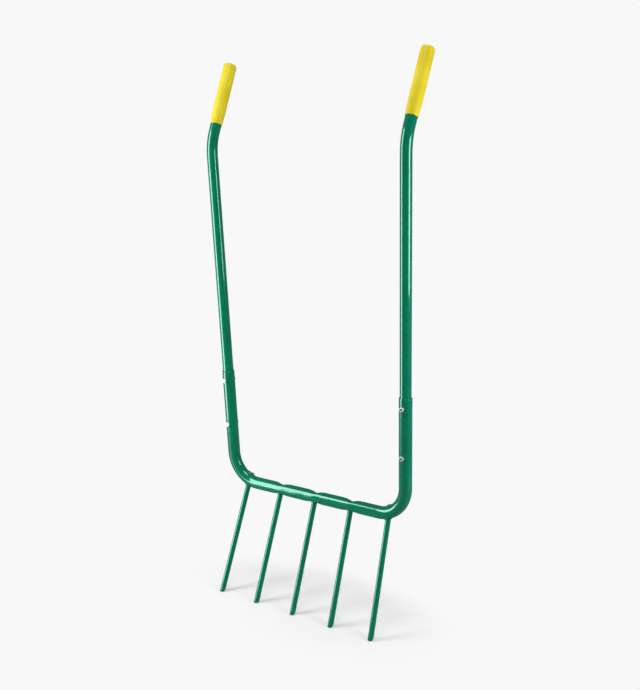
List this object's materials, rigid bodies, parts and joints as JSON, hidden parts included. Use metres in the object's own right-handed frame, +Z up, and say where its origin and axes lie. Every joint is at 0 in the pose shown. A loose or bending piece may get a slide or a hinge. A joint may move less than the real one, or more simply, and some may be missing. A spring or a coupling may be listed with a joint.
{
  "type": "broadfork",
  "caption": "Hand broadfork: a bent tube frame with welded chisel-ended tines, and two bolted handle tubes that bend back to soft grips.",
  "frame": {"origin": "on the ground under the middle of the whole tool, level with the tips of the tines", "axes": "+Z up along the legs, +X to the right seen from the front, -Y to the front, where the tines lean; the grips lean to +Y, where the user stands"},
  "size_m": [0.6164, 0.231, 1.3723],
  "materials": {
    "green_paint": "glossy green powder coat",
    "yellow_grip": "soft yellow vinyl, half gloss",
    "zinc": "bright zinc plating"
  },
  "bodies": {
    "root": {"u_frame": "green_paint", "left_handle_tube": "green_paint", "right_handle_tube": "green_paint", "left_outer_tine": "green_paint", "left_inner_tine": "green_paint", "middle_tine": "green_paint", "right_inner_tine": "green_paint", "right_outer_tine": "green_paint", "tine_welds": "green_paint", "left_grip": "yellow_grip", "right_grip": "yellow_grip", "handle_bolts": "zinc", "handle_nuts": "zinc"}
  },
  "joints": []
}
